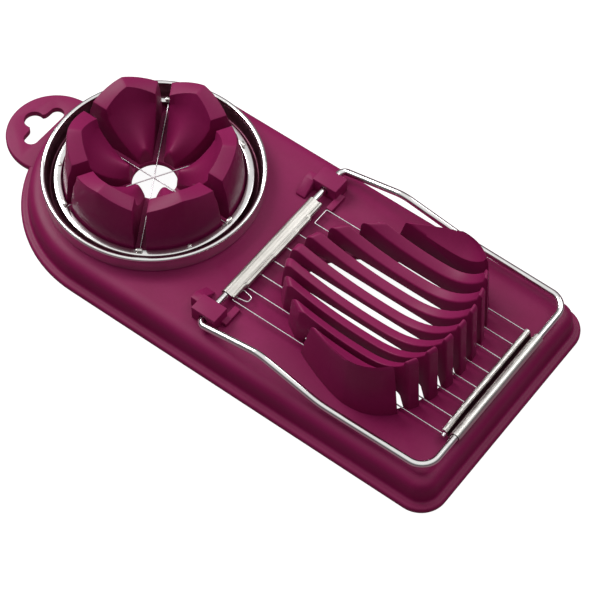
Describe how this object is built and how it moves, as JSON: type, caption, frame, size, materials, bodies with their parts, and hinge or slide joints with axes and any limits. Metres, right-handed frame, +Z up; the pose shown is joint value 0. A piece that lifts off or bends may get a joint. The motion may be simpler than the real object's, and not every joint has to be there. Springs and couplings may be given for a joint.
{
  "type": "egg slicer",
  "caption": "Hand-held egg slicer: a flat base with a ribbed egg cradle under a hinged wire harp, a ring of petals with a lift-off wire wedger, and a hanging tab.",
  "frame": {"origin": "under the middle of the bounding box, on the surface the base stands on", "axes": "+X along the length, from the hanging tab and wedger towards the slicing end; +Y across, to the far side; +Z up"},
  "size_m": [0.212, 0.095, 0.0383],
  "materials": {
    "maroon_plastic": "satin moulded polypropylene",
    "chrome": "polished",
    "steel": "brushed stainless steel"
  },
  "bodies": {
    "base": {"base_shell": "maroon_plastic", "hanging_tab": "maroon_plastic", "petal_1": "maroon_plastic", "petal_2": "maroon_plastic", "petal_3": "maroon_plastic", "petal_4": "maroon_plastic", "petal_5": "maroon_plastic", "petal_6": "maroon_plastic", "cradle_rib_1": "maroon_plastic", "cradle_rib_2": "maroon_plastic", "cradle_rib_3": "maroon_plastic", "cradle_rib_4": "maroon_plastic", "cradle_rib_5": "maroon_plastic", "cradle_rib_6": "maroon_plastic", "cradle_rib_7": "maroon_plastic", "cradle_wall_near": "maroon_plastic", "cradle_wall_far": "maroon_plastic", "hinge_block_near": "maroon_plastic", "hinge_block_far": "maroon_plastic"},
    "harp": {"harp_rod": "chrome", "hinge_strip": "steel", "front_strip": "steel", "slicing_wire_1": "steel", "slicing_wire_2": "steel", "slicing_wire_3": "steel", "slicing_wire_4": "steel", "slicing_wire_5": "steel", "slicing_wire_6": "steel", "slicing_wire_7": "steel", "slicing_wire_8": "steel", "wire_turn_1": "steel", "wire_turn_3": "steel", "wire_turn_5": "steel", "wire_turn_7": "steel", "wire_crimp": "steel"},
    "wedger": {"ring_hoop": "chrome", "wedge_wire_1": "steel", "wedge_wire_2": "steel", "wedge_wire_3": "steel", "wire_lug_1": "steel", "wire_lug_2": "steel", "wire_lug_3": "steel", "wire_lug_4": "steel", "wire_lug_5": "steel", "wire_lug_6": "steel"}
  },
  "joints": [
    {"name": "harp_hinge", "type": "hinge", "parent": "base", "child": "harp", "pos_m": [0.007, 0, 0.0144], "axis": [0, -1, 0], "range_deg": [0, 105]},
    {"name": "ring_lift", "type": "slide", "parent": "base", "child": "wedger", "axis": [0, 0, 1], "range_m": [0, 0.03]}
  ]
}
